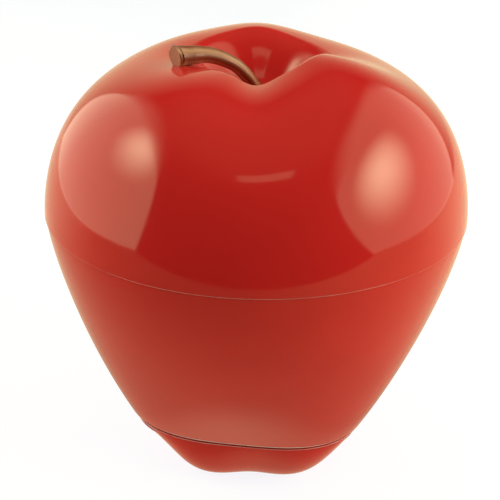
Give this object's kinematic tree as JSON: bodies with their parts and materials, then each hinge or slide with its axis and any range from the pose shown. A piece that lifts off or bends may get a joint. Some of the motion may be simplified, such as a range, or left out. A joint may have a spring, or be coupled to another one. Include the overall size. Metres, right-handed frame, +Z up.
{
  "type": "apple peeler corer",
  "caption": "Apple-shaped twist-top peeler and corer: red shell in three parts around a geared lead screw, sprung peeling arm, fork and coring tube.",
  "frame": {"origin": "centre of the apple's axis on the plane it rests on", "axes": "+Z up along the apple's axis, -Y towards the front, +X to the viewer's right"},
  "size_m": [0.199, 0.199, 0.2163],
  "materials": {
    "red_shell": "high gloss moulded ABS, red",
    "rubber_pad": "matt moulded rubber",
    "white_frame": "satin moulded ABS, white",
    "acetal_bush": "natural acetal, satin",
    "gear_nylon": "natural nylon, satin",
    "ground_steel": "ground stainless steel",
    "blade_steel": "polished stainless steel",
    "screw_steel": "zinc plated steel",
    "spring_steel": "drawn spring steel",
    "nut_brass": "turned brass",
    "cast_arm": "die-cast, tumbled",
    "brown_stem": "gloss painted moulded ABS, brown"
  },
  "bodies": {
    "base": {"core_cup": "red_shell", "foot_pads": "rubber_pad"},
    "case": {"lower_shell": "red_shell", "deck": "white_frame", "deck_screws": "screw_steel", "deck_bush": "acetal_bush", "screw_bushes": "acetal_bush", "guide_rods": "ground_steel", "bearing_plate": "white_frame", "rod_screws": "screw_steel"},
    "fork": {"fork": "white_frame", "prongs": "blade_steel", "coring_tube": "blade_steel", "fork_clip": "spring_steel"},
    "screw": {"lead_screw": "ground_steel", "pinion": "acetal_bush", "pinion_clip": "spring_steel"},
    "carriage": {"carriage": "white_frame", "carriage_nut": "nut_brass", "arm_pin": "ground_steel", "arm_spring": "spring_steel"},
    "arm": {"peeler_arm": "cast_arm"},
    "blade": {"blade_head": "cast_arm", "peel_blade": "blade_steel"},
    "glide": {"glide_ring": "acetal_bush"},
    "dome": {"dome": "red_shell", "ring_gear": "gear_nylon", "gear_screws": "screw_steel", "holder_sleeve": "white_frame", "sleeve_screws": "screw_steel", "stem": "brown_stem", "stem_screw": "screw_steel", "holder_spring": "spring_steel"},
    "holder": {"apple_holder": "white_frame", "holder_spikes": "blade_steel"}
  },
  "joints": [
    {"name": "case_lift", "type": "slide", "parent": "base", "child": "case", "axis": [0, 0, 1], "range_m": [0, 0.03]},
    {"name": "lid_lift", "type": "slide", "parent": "case", "child": "glide", "axis": [0, 0, 1], "range_m": [0, 0.08]},
    {"name": "lid_turn", "type": "hinge", "parent": "glide", "child": "dome", "pos_m": [0, 0, 0.146], "axis": [0, 0, -1], "range_deg": [0, 3780]},
    {"name": "holder_press", "type": "slide", "parent": "dome", "child": "holder", "axis": [0, 0, 1], "range_m": [0, 0.017], "stiffness_N_per_m": 500, "springref_m": -0.01, "deforming": ["holder_spring"]},
    {"name": "fork_turn", "type": "hinge", "parent": "case", "child": "fork", "pos_m": [0, 0, 0.045], "axis": [0, 0, -1], "range_deg": [0, 3781]},
    {"name": "screw_turn", "type": "hinge", "parent": "case", "child": "screw", "pos_m": [0, 0.052, 0.045], "axis": [0, 0, -1], "range_deg": [0, 20161]},
    {"name": "carriage_travel", "type": "slide", "parent": "case", "child": "carriage", "axis": [0, 0, 1], "range_m": [0, 0.0701]},
    {"name": "arm_swing", "type": "hinge", "parent": "carriage", "child": "arm", "pos_m": [0.034, 0.041, 0.0593], "axis": [0, 0, 1], "range_deg": [0, 54], "stiffness_Nm_per_rad": 0.02, "springref_deg": -34.38},
    {"name": "blade_swivel", "type": "hinge", "parent": "arm", "child": "blade", "pos_m": [0.01676, 0.02022, 0.0593], "axis": [-0.6383, -0.7698, 0], "range_deg": [-15, 15]}
  ],
  "couplings": [
    {"joint": "fork_turn", "follows": "lid_turn", "ratio": 1},
    {"joint": "screw_turn", "follows": "lid_turn", "ratio": 5.3333},
    {"joint": "carriage_travel", "follows": "lid_turn", "m_per_rad": 0.001061}
  ]
}
